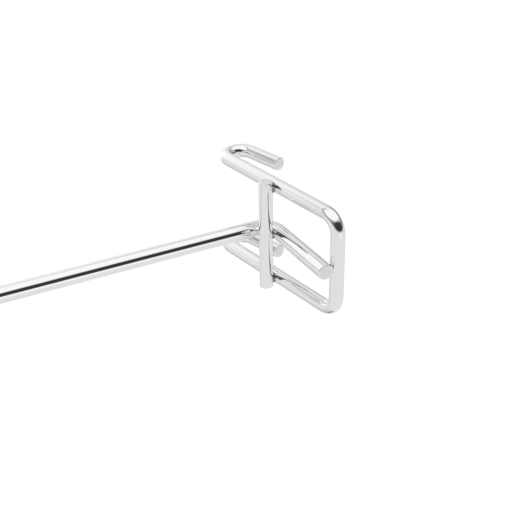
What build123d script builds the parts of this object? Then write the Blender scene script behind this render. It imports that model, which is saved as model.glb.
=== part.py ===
"""Gridwall hook: a display peg on a wire back frame that hangs on a gridwall panel.

Three round steel wires, cross-welded and plated:
  back_frame  one wire bent to a U, the top of each upright turned back into a hook
  cross_bar   a straight wire across the front of both uprights
  peg         a rod bent square in a crook over the cross bar; its tail leans forward to the front
              of the back frame's base, where the toe is welded, and that lean tips the peg up

Millimetres. +Z is up on the panel and -Y points out of the panel.
The origin is midway between the two hooks, at the centre of their bends,
where the panel's horizontal wire lies.
"""

import os
from math import asin, atan2, cos, hypot, radians, sin

from build123d import *

# Wire stock
frame_wire = 6.2        # diameter of the back frame's and the cross bar's wire
peg_rod = 7.2           # diameter of the peg

# Back frame
upright_spacing = 45.8  # between the axes of the two uprights
hook_gap = 6.9          # clear width inside a hook, over a 6.35 panel wire
hook_leg = 19.0         # straight leg that follows the hook's bend
hook_flare = 5.3        # degrees by which that leg opens away from its upright
base_drop = 76.0        # from the hooks' bend centres down to the base's axis
corner_bend = 7.8       # centre-line radius of the two lower corners

# Cross bar
bar_drop = 34.6         # from the hooks' bend centres down to the bar's axis
bar_overhang = 0.4      # length of bar past each upright's outer side

# Peg
peg_reach = 152.4       # from the uprights' axes out to the peg's tip, measured level
peg_lift = 1.2          # clear height over the cross bar inside the crook
crook_bend = 8.0        # centre-line radius of the crook behind the cross bar
crook_turn = 90.0       # degrees through which the rod is bent there
toe_overrun = 1.8       # length of tail past its weld on the base

# Welds: how far one wire sinks into the other, and the width of the weld metal round the contact
upright_setdown = 0.37
crook_setdown = 0.5
toe_setdown = 0.28
bar_weld = 5.6
toe_weld = 2.8

# Edges of the cut ends
sheared_edge = 0.4      # bevel left on a sheared wire end
tip_edge = 1.2          # rounding of the peg's free end

# Places that follow from the sizes above
hook_bend = (hook_gap + frame_wire) / 2
upright_x = upright_spacing / 2
upright_y = -hook_bend
touch = (frame_wire + peg_rod) / 2
bar_axis = Vector(0, upright_y + upright_setdown - frame_wire, -bar_drop)
base_axis = Vector(0, upright_y, -base_drop)
crook_y = bar_axis.Y + touch - crook_setdown - crook_bend
crook_centre = Vector(0, crook_y, bar_axis.Z + touch + peg_lift - crook_bend)


def round_wire(diameter, *runs):
    """One wire of round section, swept along straight runs and the bends between them."""
    path = Wire([edge for run in runs for edge in run.edges()])
    section = Plane(path @ 0, z_dir=path % 0) * Circle(diameter / 2)
    return sweep(section, path)


def end_faces(wire):
    """The flat ends of a wire, from the front of the hook to its back."""
    return wire.faces().filter_by(GeomType.PLANE).sort_by(Axis.Y)


def weld_collar(start, direction, width, length):
    """Weld metal round a contact: a short round neck from one wire's axis towards the other's."""
    neck = Circle(width / 2)
    return extrude(Plane(start, z_dir=direction) * neck, length)


def make_back_frame():
    """U-shaped wire: leg, hook bend and upright on each side, joined by corners and a base."""
    side = Plane.YZ.offset(upright_x)
    bend = side * JernArc((upright_y, 0), (0, 1), hook_bend, hook_flare - 180)
    leg = Line(bend @ 1, bend @ 1 + bend % 1 * hook_leg)
    front = Plane.XZ.offset(-upright_y)
    corner = front * JernArc((upright_x, corner_bend - base_drop), (0, -1), corner_bend, -90)
    upright = Line(bend @ 0, corner @ 0)
    arm = Curve() + [leg, bend, upright, corner]
    base = Line(corner @ 1, base_axis + Vector(corner_bend - upright_x, 0, 0))
    wire = round_wire(frame_wire, arm, base, mirror(arm, about=Plane.YZ))
    return chamfer(end_faces(wire).edges(), sheared_edge)


def make_peg(back_frame):
    """Rod bent to a crook over the cross bar; the tail leans forward to the front of the base."""
    toe_offset = touch - toe_setdown
    span = base_axis - crook_centre
    lean = asin((crook_bend + toe_offset) / hypot(span.Y, span.Z)) - atan2(span.Y, -span.Z)
    tilt = lean + radians(90 - crook_turn)
    inwards = Vector(0, cos(tilt), -sin(tilt))
    start = crook_centre + Vector(0, sin(tilt), cos(tilt)) * crook_bend
    shank = Line(start - inwards * ((start.Y - upright_y + peg_reach) / inwards.Y), start)
    crook = Plane.YZ * JernArc((start.Y, start.Z), (inwards.Y, inwards.Z), crook_bend, -crook_turn)
    downwards = crook % 1
    foot = crook @ 1 + downwards * (base_axis - crook @ 1).dot(downwards)
    tail = Line(crook @ 1, foot + downwards * toe_overrun)
    rod = round_wire(peg_rod, shank, crook, tail)
    rod = chamfer(end_faces(rod)[-1].edges(), sheared_edge)
    rod = fillet(end_faces(rod)[0].edges(), tip_edge)
    rod += weld_collar(foot, base_axis - foot, toe_weld, toe_offset)
    return rod - back_frame


def make_cross_bar(back_frame, peg):
    """Straight wire, seated in shallow saddles on both uprights and in the peg's crook."""
    length = upright_spacing + frame_wire + 2 * bar_overhang
    bar = Plane(bar_axis, z_dir=(1, 0, 0)) * Cylinder(frame_wire / 2, length)
    bar = chamfer(end_faces(bar).edges(), sheared_edge)
    for x in (-upright_x, upright_x):
        bar += weld_collar(bar_axis + Vector(x, 0, 0), (0, 1, 0), bar_weld, frame_wire)
    bar += weld_collar(bar_axis, bar_axis - crook_centre, bar_weld, touch)
    return bar - back_frame - peg


back_frame = make_back_frame()
peg = make_peg(back_frame)
cross_bar = make_cross_bar(back_frame, peg)

os.makedirs("parts", exist_ok=True)
for node, solid in (("back_frame", back_frame), ("cross_bar", cross_bar), ("peg", peg)):
    export_step(solid, f"parts/{node}.step")
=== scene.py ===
"""Looks of the gridwall hook: chromed wire, sheared ends and plated-over welds, in a white studio."""

from collections import namedtuple
from math import asin, atan2, ceil, cos, hypot, pi, radians, sin

import bmesh
import bpy
from mathutils import Matrix, Vector


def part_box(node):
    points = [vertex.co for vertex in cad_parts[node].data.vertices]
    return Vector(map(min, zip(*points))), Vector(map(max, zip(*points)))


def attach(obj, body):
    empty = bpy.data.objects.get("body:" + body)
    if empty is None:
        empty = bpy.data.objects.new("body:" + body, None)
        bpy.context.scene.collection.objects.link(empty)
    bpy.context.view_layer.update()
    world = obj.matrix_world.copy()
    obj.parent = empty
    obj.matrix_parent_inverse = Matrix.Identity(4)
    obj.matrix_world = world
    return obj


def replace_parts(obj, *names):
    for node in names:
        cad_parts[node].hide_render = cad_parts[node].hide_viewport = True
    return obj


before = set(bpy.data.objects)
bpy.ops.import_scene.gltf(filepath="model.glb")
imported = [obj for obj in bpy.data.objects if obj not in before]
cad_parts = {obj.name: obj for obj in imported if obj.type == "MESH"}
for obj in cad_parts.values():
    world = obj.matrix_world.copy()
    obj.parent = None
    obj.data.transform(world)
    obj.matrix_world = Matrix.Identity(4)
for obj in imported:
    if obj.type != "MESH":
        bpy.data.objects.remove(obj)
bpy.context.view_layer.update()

# Sizes that the frame gives, in metres
frame_low, frame_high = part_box("back_frame")
bar_low, bar_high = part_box("cross_bar")
peg_low, peg_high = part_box("peg")
wire_radius = (bar_high.z - bar_low.z) / 2
rod_radius = (peg_high.x - peg_low.x) / 2
upright_x = frame_high.x - wire_radius
upright_y = frame_low.y + wire_radius
hook_bend = frame_high.z - wire_radius
base_axis = Vector((0, upright_y, frame_low.z + wire_radius))
bar_axis = Vector((0, bar_low.y + wire_radius, (bar_low.z + bar_high.z) / 2))

# Sizes that a box doesn't show
hook_leg = 0.019           # straight leg that follows a hook's bend
hook_flare = radians(5.3)  # by which that leg opens away from its upright
corner_bend = 0.0078       # centre-line radius of the two lower corners
peg_reach = 0.1524         # from the uprights' axes out to the peg's tip, measured level
peg_lift = 0.0012          # clear height over the cross bar inside the crook
crook_bend = 0.008         # centre-line radius of the crook behind the cross bar
toe_overrun = 0.0018       # length of tail past its weld on the base
toe_setdown = 0.00028      # by which the tail sinks into the base
sheared_rim = 0.0004       # rounding of a sheared wire end
tip_rim = 0.0012           # rounding of the peg's free end

# Places that follow from them
crook_z = bar_axis.z + wire_radius + rod_radius + peg_lift - crook_bend
crook_centre = Vector((0, peg_high.y - rod_radius - crook_bend, crook_z))
toe_offset = wire_radius + rod_radius - toe_setdown
crook_to_base = base_axis - crook_centre
tail_lean = (asin((crook_bend + toe_offset) / hypot(crook_to_base.y, crook_to_base.z))
             - atan2(crook_to_base.y, -crook_to_base.z))
tail_heading = Vector((0, -sin(tail_lean), -cos(tail_lean)))
peg_heading = Vector((0, cos(tail_lean), -sin(tail_lean)))
crook_start = crook_centre - tail_heading * crook_bend
peg_length = (crook_start.y - upright_y + peg_reach) / peg_heading.y
tail_top = crook_centre + peg_heading * crook_bend
toe_foot = tail_top + tail_heading * (base_axis - tail_top).dot(tail_heading)

# Fineness of the wire meshes
wire_sides = 64
bend_step = radians(3)
run_edge = 0.00015         # from a straight run's end to the ring that keeps its shading straight
sheared_rim_steps = 3
tip_rim_steps = 8
stub_rim_steps = 1
end_inset = 0.25           # border of an end's flat face, as a share of its rim
cut_face_slot = 1          # place of the cut faces' material in a wire's list
drawn_name = "drawn"       # attribute with a point's place in the wire before it was bent

# Weld metal
weld_reach = 0.0051        # length of wire that a weld takes in on either side
weld_bed = 0.00002         # by which those lengths lie under the wires' own surfaces
weld_voxel = 0.00015
weld_smoothing = 8         # rounds of smoothing
collar_radius = 0.0028
collar_height = 0.0011
toe_collar_radius = toe_overrun - 2 * sheared_rim
crook_stub_angle = radians(50)  # above level, where the crook's stub begins

# The middle values of a noise texture, which a finish spreads over its own range
noise_middle = (0.3, 0.7)

# The photograph's camera: a long lens below and in front of the hook, turned so that +X is up
camera_place = Vector((0.230114, -0.273452, -0.372362))
camera_aim = Vector((-0.008807, -0.018186, -0.034635))
photo_up = Vector((0.87079, 0.307794, 0.383389))
camera_lens = 76.232
camera_sensor = 36.0
camera_near = 0.01

# The studio's plumb line: how far the camera is pitched down and rolled against it, as slopes
camera_pitch = 0.406
camera_roll = 0.151

# Patches of the studio. Azimuths run to the right from the camera's side and heights up from the level,
# in degrees. A patch begins at one cosine from its direction and is full at the other. The table's
# direction is the one that it faces, so it lies at the low cosines. The backdrop never quite gets full
Patch = namedtuple("Patch", "azimuth height begins full")
softbox = Patch(azimuth=-105, height=64, begins=0.29, full=0.55)
side_sheet = Patch(azimuth=150, height=76.6, begins=0.56, full=0.86)
table = Patch(azimuth=-31, height=81, begins=0.154, full=-0.072)
backdrop = Patch(azimuth=-159, height=12, begins=0.684, full=1.078)
glint = Patch(azimuth=48, height=-14, begins=0.965, full=0.995)
hook_shadow = Patch(azimuth=-175, height=-75, begins=0.945, full=1.0)
soft_shadow = Patch(azimuth=-137, height=-54, begins=0.84, full=1.0)
far_side = Patch(azimuth=186, height=13, begins=0.476, full=0.99)

# Their light, and the share of it that a shaded patch keeps
table_light = 0.84
softbox_light = 1.07
backdrop_light = 3.3
glint_light = 0.22
hook_shadow_keeps = 0.42
soft_shadow_keeps = 0.75
far_side_keeps = 0.31

# The dim room between the sheets: densest round one azimuth, and thinner on the far side
room_colour = (0.048, 0.034, 0.041, 1.0)
room_azimuth = radians(30)
room_cosines = (-1.0, 0.8)
room_thin = 0.4
room_dense = 1.0

# A dim gap that leans up the left side: its azimuth at the level and how that changes with the height, how
# far from its middle it would be full and has ended, and the heights at its foot and top, in radians
gap_azimuth = radians(-75.8)
gap_slope = -0.559
gap_edge = (radians(-11.0), radians(17.4))
gap_foot = (-0.265, -0.055)
gap_top = (1.065, 1.274)

# Floor: how far it lies under the hook, and the distances where it begins and ends to fade into the white
floor_drop = 0.6
floor_fade = 1.2
floor_reach = 7.0
floor_glow = 0.18


# Shader helpers

def add_node(tree, kind, **settings):
    """One shader node with its properties set."""
    node = tree.nodes.new(kind)
    for name, value in settings.items():
        setattr(node, name, value)
    return node


def set_inputs(node, **values):
    """Sets a node's sockets by name, with spaces written as underscores."""
    for name, value in values.items():
        node.inputs[name.replace("_", " ")].default_value = value
    return node


def noise(tree, vector, scale, detail=3.0, roughness=0.5):
    """A noise texture on the given coordinates."""
    node = add_node(tree, "ShaderNodeTexNoise")
    set_inputs(node, Scale=scale, Detail=detail, Roughness=roughness)
    tree.links.new(vector, node.inputs["Vector"])
    return node.outputs["Fac"]


def map_range(tree, value, span, low, high, interpolation="LINEAR"):
    """Goes from low to high as a value crosses a span."""
    start, end = span
    node = add_node(tree, "ShaderNodeMapRange", interpolation_type=interpolation)
    set_inputs(node, From_Min=start, From_Max=end, To_Min=low, To_Max=high)
    tree.links.new(value, node.inputs["Value"])
    return node.outputs["Result"]


def bump(tree, height, strength, depth, under=None):
    """A bump of the given depth, laid over another one where there is one."""
    node = add_node(tree, "ShaderNodeBump")
    set_inputs(node, Strength=strength, Distance=depth)
    tree.links.new(height, node.inputs["Height"])
    if under is not None:
        tree.links.new(under, node.inputs["Normal"])
    return node.outputs["Normal"]


# Finishes

def new_metal(name, colour):
    """A metal with its own node tree; returns the material, its tree and its shader."""
    material = bpy.data.materials.new(name)
    material.use_nodes = True
    tree = material.node_tree
    shader = tree.nodes["Principled BSDF"]
    set_inputs(shader, Base_Color=(*colour, 1.0), Metallic=1.0)
    return material, tree, shader


def bright_chrome():
    """Bright plating on drawn wire: faint die lines along the wire over a slightly rippled skin."""
    material, tree, shader = new_metal("bright_chrome", colour=(0.88, 0.88, 0.89))
    straight = add_node(tree, "ShaderNodeAttribute", attribute_name=drawn_name).outputs["Vector"]
    die_lines = add_node(tree, "ShaderNodeMapping")
    set_inputs(die_lines, Scale=(1.0, 1.0, 0.012))
    tree.links.new(straight, die_lines.inputs["Vector"])
    lines = noise(tree, die_lines.outputs["Vector"], scale=2600.0, detail=2.0)
    skin = noise(tree, straight, scale=420.0, detail=2.0)
    tree.links.new(map_range(tree, lines, noise_middle, low=0.01, high=0.04), shader.inputs["Roughness"])
    ripple = bump(tree, skin, strength=0.05, depth=0.00004)
    grooves = bump(tree, lines, strength=0.03, depth=0.00001, under=ripple)
    tree.links.new(grooves, shader.inputs["Normal"])
    return material


def sheared_end():
    """A plated cut face: grey, with the torn grain that the shear leaves."""
    material, tree, shader = new_metal("sheared_end", colour=(0.85, 0.85, 0.86))
    place = add_node(tree, "ShaderNodeTexCoord").outputs["Object"]
    tear = noise(tree, place, scale=900.0, detail=5.0, roughness=0.62)
    tree.links.new(map_range(tree, tear, noise_middle, low=0.24, high=0.46), shader.inputs["Roughness"])
    tree.links.new(bump(tree, tear, strength=0.55, depth=0.00022), shader.inputs["Normal"])
    return material


def plated_weld():
    """Weld metal that took the plating unevenly: grey in places, brown and dark in others."""
    dark_brown = (0.06, 0.045, 0.045)
    dull_grey = (0.5, 0.5, 0.5)
    material, tree, shader = new_metal("plated_weld", colour=dull_grey)
    place = add_node(tree, "ShaderNodeTexCoord").outputs["Object"]
    stain = add_node(tree, "ShaderNodeMixRGB")
    set_inputs(stain, Color1=(*dark_brown, 1.0), Color2=(*dull_grey, 1.0))
    taken = map_range(tree, noise(tree, place, scale=800.0), noise_middle, low=0.0, high=1.0)
    tree.links.new(taken, stain.inputs["Fac"])
    tree.links.new(stain.outputs["Color"], shader.inputs["Base Color"])
    pool = noise(tree, place, scale=500.0, detail=2.0)
    tree.links.new(map_range(tree, pool, noise_middle, low=0.06, high=0.16), shader.inputs["Roughness"])
    tree.links.new(bump(tree, pool, strength=0.12, depth=0.0001), shader.inputs["Normal"])
    return material


# Wires

def turn_from_z(direction):
    """The turn that takes +Z to a direction."""
    return Vector((0, 0, 1)).rotation_difference(direction).to_matrix().to_4x4()


def extrude_ring(mesh, edges):
    """Extrudes a ring of edges in place; returns the new ring's vertices and edges."""
    made = bmesh.ops.extrude_edge_only(mesh, edges=edges)["geom"]
    new_verts = [part for part in made if isinstance(part, bmesh.types.BMVert)]
    new_edges = [part for part in made if isinstance(part, bmesh.types.BMEdge)]
    return new_verts, new_edges


class WireBender:
    """A round wire, fed out straight and bent ring by ring, as a bending machine makes it."""

    def __init__(self, radius, start, heading):
        self.mesh = bmesh.new()
        self.drawn = self.mesh.verts.layers.float_vector.new(drawn_name)
        self.radius = radius
        self.start = Vector(start)
        self.place = Vector(start)
        self.start_heading = Vector(heading).normalized()
        self.heading = self.start_heading.copy()
        self.ring = bmesh.ops.create_circle(self.mesh, segments=wire_sides, radius=radius)["verts"]
        for vert in self.ring:
            vert[self.drawn] = vert.co
        set_up = Matrix.Translation(start) @ turn_from_z(self.heading)
        bmesh.ops.transform(self.mesh, matrix=set_up, verts=self.ring)
        self.first_edges = list(self.mesh.edges)
        self.last_edges = self.first_edges

    def next_ring(self, length):
        """Extrudes the last ring in place, and marks how much wire it will have used."""
        self.ring, self.last_edges = extrude_ring(self.mesh, self.last_edges)
        for vert in self.ring:
            vert[self.drawn] = vert[self.drawn] + Vector((0, 0, length))

    def feed(self, length):
        """A straight run, with a ring close to either end so that its shading stays straight."""
        for part in (run_edge, length - 2 * run_edge, run_edge):
            self.next_ring(part)
            bmesh.ops.translate(self.mesh, vec=self.heading * part, verts=self.ring)
            self.place += self.heading * part

    def bend(self, radius, angle, towards):
        """A bend about a centre that lies at the given radius towards one side."""
        centre = self.place + Vector(towards).normalized() * radius
        axis = self.heading.cross(Vector(towards))
        steps = ceil(angle / bend_step)
        turn = Matrix.Rotation(angle / steps, 3, axis)
        for _ in range(steps):
            self.next_ring(radius * angle / steps)
            bmesh.ops.rotate(self.mesh, cent=centre, matrix=turn, verts=self.ring)
            self.heading = turn @ self.heading
            self.place = centre + turn @ (self.place - centre)

    def close_end(self, edges, place, outward, rim, steps):
        """Rounds an end's rim and closes it with a flat face that takes the cut faces' material."""
        width = self.radius
        reach = 0.0
        for step in range(1, steps + 1):
            slope = pi / 2 * step / steps
            ring, edges = extrude_ring(self.mesh, edges)
            new_width = self.radius - rim * (1 - cos(slope))
            new_reach = rim * sin(slope)
            bmesh.ops.scale(self.mesh, vec=Vector((1, 1, 1)) * (new_width / width), verts=ring,
                            space=Matrix.Translation(-place - outward * reach))
            bmesh.ops.translate(self.mesh, vec=outward * (new_reach - reach), verts=ring)
            width = new_width
            reach = new_reach
        face = bmesh.ops.edgeloop_fill(self.mesh, edges=edges)["faces"]
        bmesh.ops.inset_individual(self.mesh, faces=face, thickness=rim * end_inset)
        face[0].material_index = cut_face_slot

    def close_start(self, rim, steps):
        """Closes the end that the wire began with."""
        self.close_end(self.first_edges, self.start, -self.start_heading, rim, steps)

    def close_finish(self, rim, steps):
        """Closes the end that the wire has come to."""
        self.close_end(self.last_edges, self.place, self.heading, rim, steps)

    def shear(self, steps):
        """Shears both ends off and gives the finished mesh."""
        self.close_start(sheared_rim, steps)
        self.close_finish(sheared_rim, steps)
        return self.mesh


def back_frame_wire():
    """U-shaped wire: hook leg, hook bend and upright on one side, the base, and the same in reverse."""
    leg = hook_leg - sheared_rim
    leg_up = Vector((0, -sin(hook_flare), cos(hook_flare)))
    leg_top = Vector((upright_x, upright_y + hook_bend * (1 + cos(hook_flare)), hook_bend * sin(hook_flare)))
    upright = -base_axis.z - corner_bend
    wire = WireBender(wire_radius, leg_top - leg_up * leg, leg_up)
    wire.feed(leg)
    wire.bend(hook_bend, pi - hook_flare, towards=(0, -cos(hook_flare), -sin(hook_flare)))
    wire.feed(upright)
    wire.bend(corner_bend, pi / 2, towards=(-1, 0, 0))
    wire.feed(2 * (upright_x - corner_bend))
    wire.bend(corner_bend, pi / 2, towards=(0, 0, 1))
    wire.feed(upright)
    wire.bend(hook_bend, pi - hook_flare, towards=(0, 1, 0))
    wire.feed(leg)
    return wire.shear(sheared_rim_steps)


def cross_bar_wire():
    """Straight wire across both uprights."""
    wire = WireBender(wire_radius, bar_axis + Vector((bar_low.x + sheared_rim, 0, 0)), (1, 0, 0))
    wire.feed(bar_high.x - bar_low.x - 2 * sheared_rim)
    return wire.shear(sheared_rim_steps)


def peg_wire():
    """Straight rod, tipped up, a square crook over the cross bar, and a tail that leans to the base."""
    shank = peg_length - tip_rim
    rod = WireBender(rod_radius, crook_start - peg_heading * shank, peg_heading)
    rod.feed(shank)
    rod.bend(crook_bend, pi / 2, towards=tail_heading)
    rod.feed((toe_foot - tail_top).length + toe_overrun - sheared_rim)
    rod.close_start(tip_rim, tip_rim_steps)
    rod.close_finish(sheared_rim, sheared_rim_steps)
    return rod.mesh


# Pieces

def add_object(name, data):
    """A new object in the scene."""
    thing = bpy.data.objects.new(name, data)
    bpy.context.collection.objects.link(thing)
    return thing


def show(mesh, name, slot, *materials):
    """Makes a finished piece of a mesh, fixed to the hook's one body."""
    bmesh.ops.recalc_face_normals(mesh, faces=mesh.faces)
    for face in mesh.faces:
        face.smooth = True
    data = bpy.data.meshes.new(name)
    mesh.to_mesh(data)
    mesh.free()
    for material in materials:
        data.materials.append(material)
    piece = add_object(name, data)
    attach(piece, "root")
    return piece


# Welds: each is cast from stubs of the wires that it joins, bedded just under the wires' own surfaces

def straight_stub(radius, centre, along):
    """A short straight length of wire through a weld."""
    along = Vector(along)
    wire = WireBender(radius - weld_bed, centre - along * weld_reach, along)
    wire.feed(2 * weld_reach)
    return wire.shear(stub_rim_steps)


def bar_stub(x):
    """The end of the cross bar on one upright, a little short of its sheared face."""
    inwards = Vector((-1 if x > 0 else 1, 0, 0))
    end = bar_axis + Vector((bar_high.x if x > 0 else bar_low.x, 0, 0))
    wire = WireBender(wire_radius - weld_bed, end + inwards * 2 * sheared_rim, inwards)
    wire.feed(weld_reach + wire_radius)
    return wire.shear(stub_rim_steps)


def crook_stub():
    """The part of the peg's crook that lies round its weld on the cross bar."""
    outwards = Vector((0, cos(crook_stub_angle), sin(crook_stub_angle)))
    downwards = Vector((0, sin(crook_stub_angle), -cos(crook_stub_angle)))
    rod = WireBender(rod_radius - weld_bed, crook_centre + outwards * crook_bend, downwards)
    rod.bend(crook_bend, crook_stub_angle + tail_lean, towards=-outwards)
    rod.feed(weld_reach / 2)
    return rod.shear(stub_rim_steps)


def toe_stub():
    """The end of the peg's tail, a little short of its sheared face."""
    rod = WireBender(rod_radius - weld_bed, toe_foot - tail_heading * weld_reach, tail_heading)
    rod.feed(weld_reach + toe_collar_radius)
    return rod.shear(stub_rim_steps)


def weld_metal(contact, normal, radius, *stubs):
    """Metal that fills the corner round a contact: wire stubs and a collar, run together and smoothed."""
    mould = bmesh.new()
    bmesh.ops.create_cone(mould, cap_ends=True, segments=wire_sides, radius1=radius, radius2=radius,
                          depth=collar_height, matrix=Matrix.Translation(contact) @ turn_from_z(normal))
    joined = bpy.data.meshes.new("weld_mould")
    for part in stubs:
        bmesh.ops.recalc_face_normals(part, faces=part.faces)
        part.to_mesh(joined)
        part.free()
        mould.from_mesh(joined)
    mould.to_mesh(joined)
    mould.free()
    holder = add_object("weld_mould", joined)
    run_together = holder.modifiers.new("run_together", "REMESH")
    run_together.mode = "VOXEL"
    run_together.voxel_size = weld_voxel
    depsgraph = bpy.context.evaluated_depsgraph_get()
    cast = bpy.data.meshes.new_from_object(holder.evaluated_get(depsgraph))
    bpy.data.objects.remove(holder)
    metal = bmesh.new()
    metal.from_mesh(cast)
    for _ in range(weld_smoothing):
        bmesh.ops.smooth_vert(metal, verts=metal.verts, factor=0.5, use_axis_x=True, use_axis_y=True,
                              use_axis_z=True)
    return metal


def make_welds(finish):
    """The four welds: cross bar on both uprights, cross bar in the crook, toe on the base."""
    for side, x in (("left", -upright_x), ("right", upright_x)):
        upright = Vector((x, upright_y, bar_axis.z))
        contact = (upright + bar_axis + Vector((x, 0, 0))) / 2
        metal = weld_metal(contact, Vector((0, 1, 0)), collar_radius,
                           straight_stub(wire_radius, upright, (0, 0, 1)), bar_stub(x))
        show(metal, f"weld_{side}_upright", "chromed_wire", finish)
    outwards = (bar_axis - crook_centre).normalized()
    metal = weld_metal(crook_centre + outwards * (crook_bend - rod_radius), outwards, collar_radius,
                       straight_stub(wire_radius, bar_axis, (1, 0, 0)), crook_stub())
    show(metal, "weld_crook", "chromed_wire", finish)
    to_base = (base_axis - toe_foot).normalized()
    metal = weld_metal(toe_foot + to_base * rod_radius, to_base, toe_collar_radius,
                       straight_stub(wire_radius, base_axis, (1, 0, 0)), toe_stub())
    show(metal, "weld_toe", "chromed_rod", finish)


# Camera and floor

def photo_axes():
    """The camera's right, up and backward directions."""
    back = (camera_place - camera_aim).normalized()
    right = photo_up.cross(back).normalized()
    return right, back.cross(right), back


def place_camera():
    """The camera at the photograph's viewing angle."""
    lens = bpy.data.cameras.new("photo_camera")
    lens.lens = camera_lens
    lens.sensor_width = camera_sensor
    lens.clip_start = camera_near
    camera = add_object("photo_camera", lens)
    turn = Matrix(photo_axes()).transposed().to_4x4()
    camera.matrix_world = Matrix.Translation(camera_place) @ turn
    bpy.context.scene.camera = camera


def pale_floor():
    """A pale matt floor that runs out into the white."""
    material = bpy.data.materials.new("pale_floor")
    material.use_nodes = True
    tree = material.node_tree
    paint = tree.nodes["Principled BSDF"]
    set_inputs(paint, Base_Color=(0.9, 0.9, 0.9, 1.0), Roughness=0.8, Emission_Color=(1, 1, 1, 1),
               Emission_Strength=floor_glow)
    place = add_node(tree, "ShaderNodeTexCoord").outputs["Object"]
    from_hook = add_node(tree, "ShaderNodeVectorMath", operation="LENGTH")
    tree.links.new(place, from_hook.inputs[0])
    fade = map_range(tree, from_hook.outputs["Value"], (floor_fade, floor_reach), 0.0, 1.0, "SMOOTHSTEP")
    blend = add_node(tree, "ShaderNodeMixShader")
    tree.links.new(fade, blend.inputs["Fac"])
    tree.links.new(paint.outputs["BSDF"], blend.inputs[1])
    tree.links.new(add_node(tree, "ShaderNodeBsdfTransparent").outputs["BSDF"], blend.inputs[2])
    tree.links.new(blend.outputs["Shader"], tree.nodes["Material Output"].inputs["Surface"])
    return material


def lay_floor():
    """The floor, well under the hanging hook. The wires show the studio instead of it."""
    mesh = bmesh.new()
    bmesh.ops.create_circle(mesh, cap_ends=True, segments=wire_sides, radius=floor_reach,
                            matrix=Matrix.Translation((0, 0, -floor_drop)))
    data = bpy.data.meshes.new("floor")
    mesh.to_mesh(data)
    mesh.free()
    data.materials.append(pale_floor())
    floor = add_object("floor", data)
    floor.visible_glossy = False


# Studio

class Sky:
    """The studio's node tree, with the directions that its patches are placed by."""

    def __init__(self, tree):
        right, up, back = photo_axes()
        self.tree = tree
        self.plumb = (up + back * camera_pitch + right * camera_roll).normalized()
        self.front = (back - self.plumb * back.dot(self.plumb)).normalized()
        self.side = self.plumb.cross(self.front)
        self.direction = add_node(tree, "ShaderNodeTexCoord").outputs["Generated"]

    def along(self, axis):
        """The cosine between the direction looked in and an axis."""
        node = add_node(self.tree, "ShaderNodeVectorMath", operation="DOT_PRODUCT")
        node.inputs[1].default_value = axis
        self.tree.links.new(self.direction, node.inputs[0])
        return node.outputs["Value"]

    def math(self, operation, *values):
        """One operation on sockets and plain numbers."""
        node = add_node(self.tree, "ShaderNodeMath", operation=operation)
        for socket, value in zip(node.inputs, values):
            if isinstance(value, float):
                socket.default_value = value
            else:
                self.tree.links.new(value, socket)
        return node.outputs["Value"]

    def plus(self, first, second):
        """The sum of two values."""
        return self.math("ADD", first, second)

    def times(self, first, second):
        """The product of two values."""
        return self.math("MULTIPLY", first, second)

    def step(self, value, edge, low, high):
        """Goes softly from low to high as a value crosses an edge."""
        return map_range(self.tree, value, edge, low, high, "SMOOTHSTEP")

    def patch(self, patch, outside, inside):
        """One value outside a patch of the studio, and another inside it."""
        azimuth = radians(patch.azimuth)
        height = radians(patch.height)
        level = self.front * cos(azimuth) + self.side * sin(azimuth)
        cosine = self.along(level * cos(height) + self.plumb * sin(height))
        return self.step(cosine, (patch.begins, patch.full), outside, inside)


def studio_light(sky):
    """The white table under a softbox, with a glint and shadows, a bright backdrop and a shaded far side."""
    light = sky.patch(softbox, table_light, softbox_light)
    light = sky.plus(light, sky.patch(glint, 0.0, glint_light))
    light = sky.times(light, sky.patch(hook_shadow, 1.0, hook_shadow_keeps))
    light = sky.times(light, sky.patch(soft_shadow, 1.0, soft_shadow_keeps))
    light = sky.times(light, sky.patch(backdrop, 1.0, 0.0))
    light = sky.plus(light, sky.patch(backdrop, 0.0, backdrop_light))
    return sky.times(light, sky.patch(far_side, 1.0, far_side_keeps))


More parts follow.
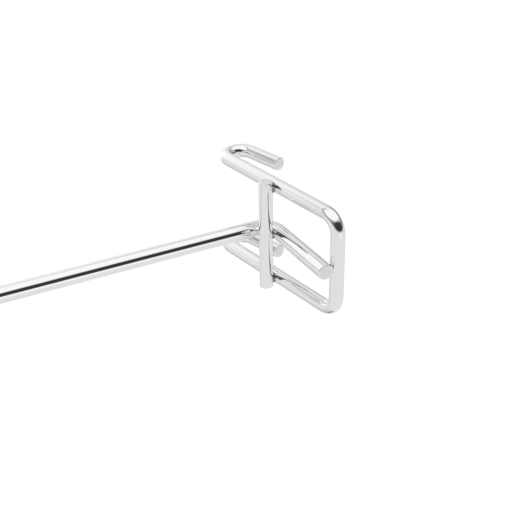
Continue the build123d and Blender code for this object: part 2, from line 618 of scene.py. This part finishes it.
def dim_room(sky):
    """How much of the dim room shows, from 0 to 1: between the white sheets, and in the leaning gap."""
    height = sky.math("ARCSINE", sky.along(sky.plumb))
    azimuth = sky.math("ARCTAN2", sky.along(sky.side), sky.along(sky.front))
    room = sky.math("COSINE", sky.math("SUBTRACT", azimuth, room_azimuth))
    room = map_range(sky.tree, room, room_cosines, room_thin, room_dense)
    for sheet in (softbox, table, side_sheet, backdrop):
        room = sky.times(room, sky.patch(sheet, 1.0, 0.0))
    gap_middle = sky.math("MULTIPLY_ADD", height, gap_slope, gap_azimuth)
    from_middle = sky.math("ABSOLUTE", sky.math("SUBTRACT", azimuth, gap_middle))
    gap = sky.step(from_middle, gap_edge, 1.0, 0.0)
    gap = sky.times(gap, sky.step(height, gap_foot, 0.0, 1.0))
    gap = sky.times(gap, sky.step(height, gap_top, 1.0, 0.0))
    return sky.math("SUBTRACT", sky.plus(room, gap), sky.times(room, gap))


def white_studio():
    """The world: plain white to the camera, and to all else the studio with its dim room."""
    world = bpy.data.worlds.new("white_studio")
    bpy.context.scene.world = world
    world.use_nodes = True
    tree = world.node_tree
    tree.nodes.clear()
    sky = Sky(tree)
    seen = set_inputs(add_node(tree, "ShaderNodeMixRGB"), Color2=room_colour)
    tree.links.new(dim_room(sky), seen.inputs["Fac"])
    tree.links.new(studio_light(sky), seen.inputs["Color1"])
    studio = set_inputs(add_node(tree, "ShaderNodeBackground"), Strength=1.0)
    tree.links.new(seen.outputs["Color"], studio.inputs["Color"])
    white = set_inputs(add_node(tree, "ShaderNodeBackground"), Color=(1, 1, 1, 1), Strength=1.0)
    split = add_node(tree, "ShaderNodeMixShader")
    rays = add_node(tree, "ShaderNodeLightPath")
    tree.links.new(rays.outputs["Is Camera Ray"], split.inputs["Fac"])
    tree.links.new(studio.outputs["Background"], split.inputs[1])
    tree.links.new(white.outputs["Background"], split.inputs[2])
    output = add_node(tree, "ShaderNodeOutputWorld")
    tree.links.new(split.outputs["Shader"], output.inputs["Surface"])


# The hook in its studio

chrome = bright_chrome()
cut = sheared_end()
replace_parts(show(back_frame_wire(), "back_frame_wire", "chromed_wire", chrome, cut), "back_frame")
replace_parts(show(cross_bar_wire(), "cross_bar_wire", "chromed_wire", chrome, cut), "cross_bar")
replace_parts(show(peg_wire(), "peg_wire", "chromed_rod", chrome, cut), "peg")
make_welds(plated_weld())
place_camera()
lay_floor()
white_studio()
bpy.context.scene.view_settings.view_transform = "Standard"
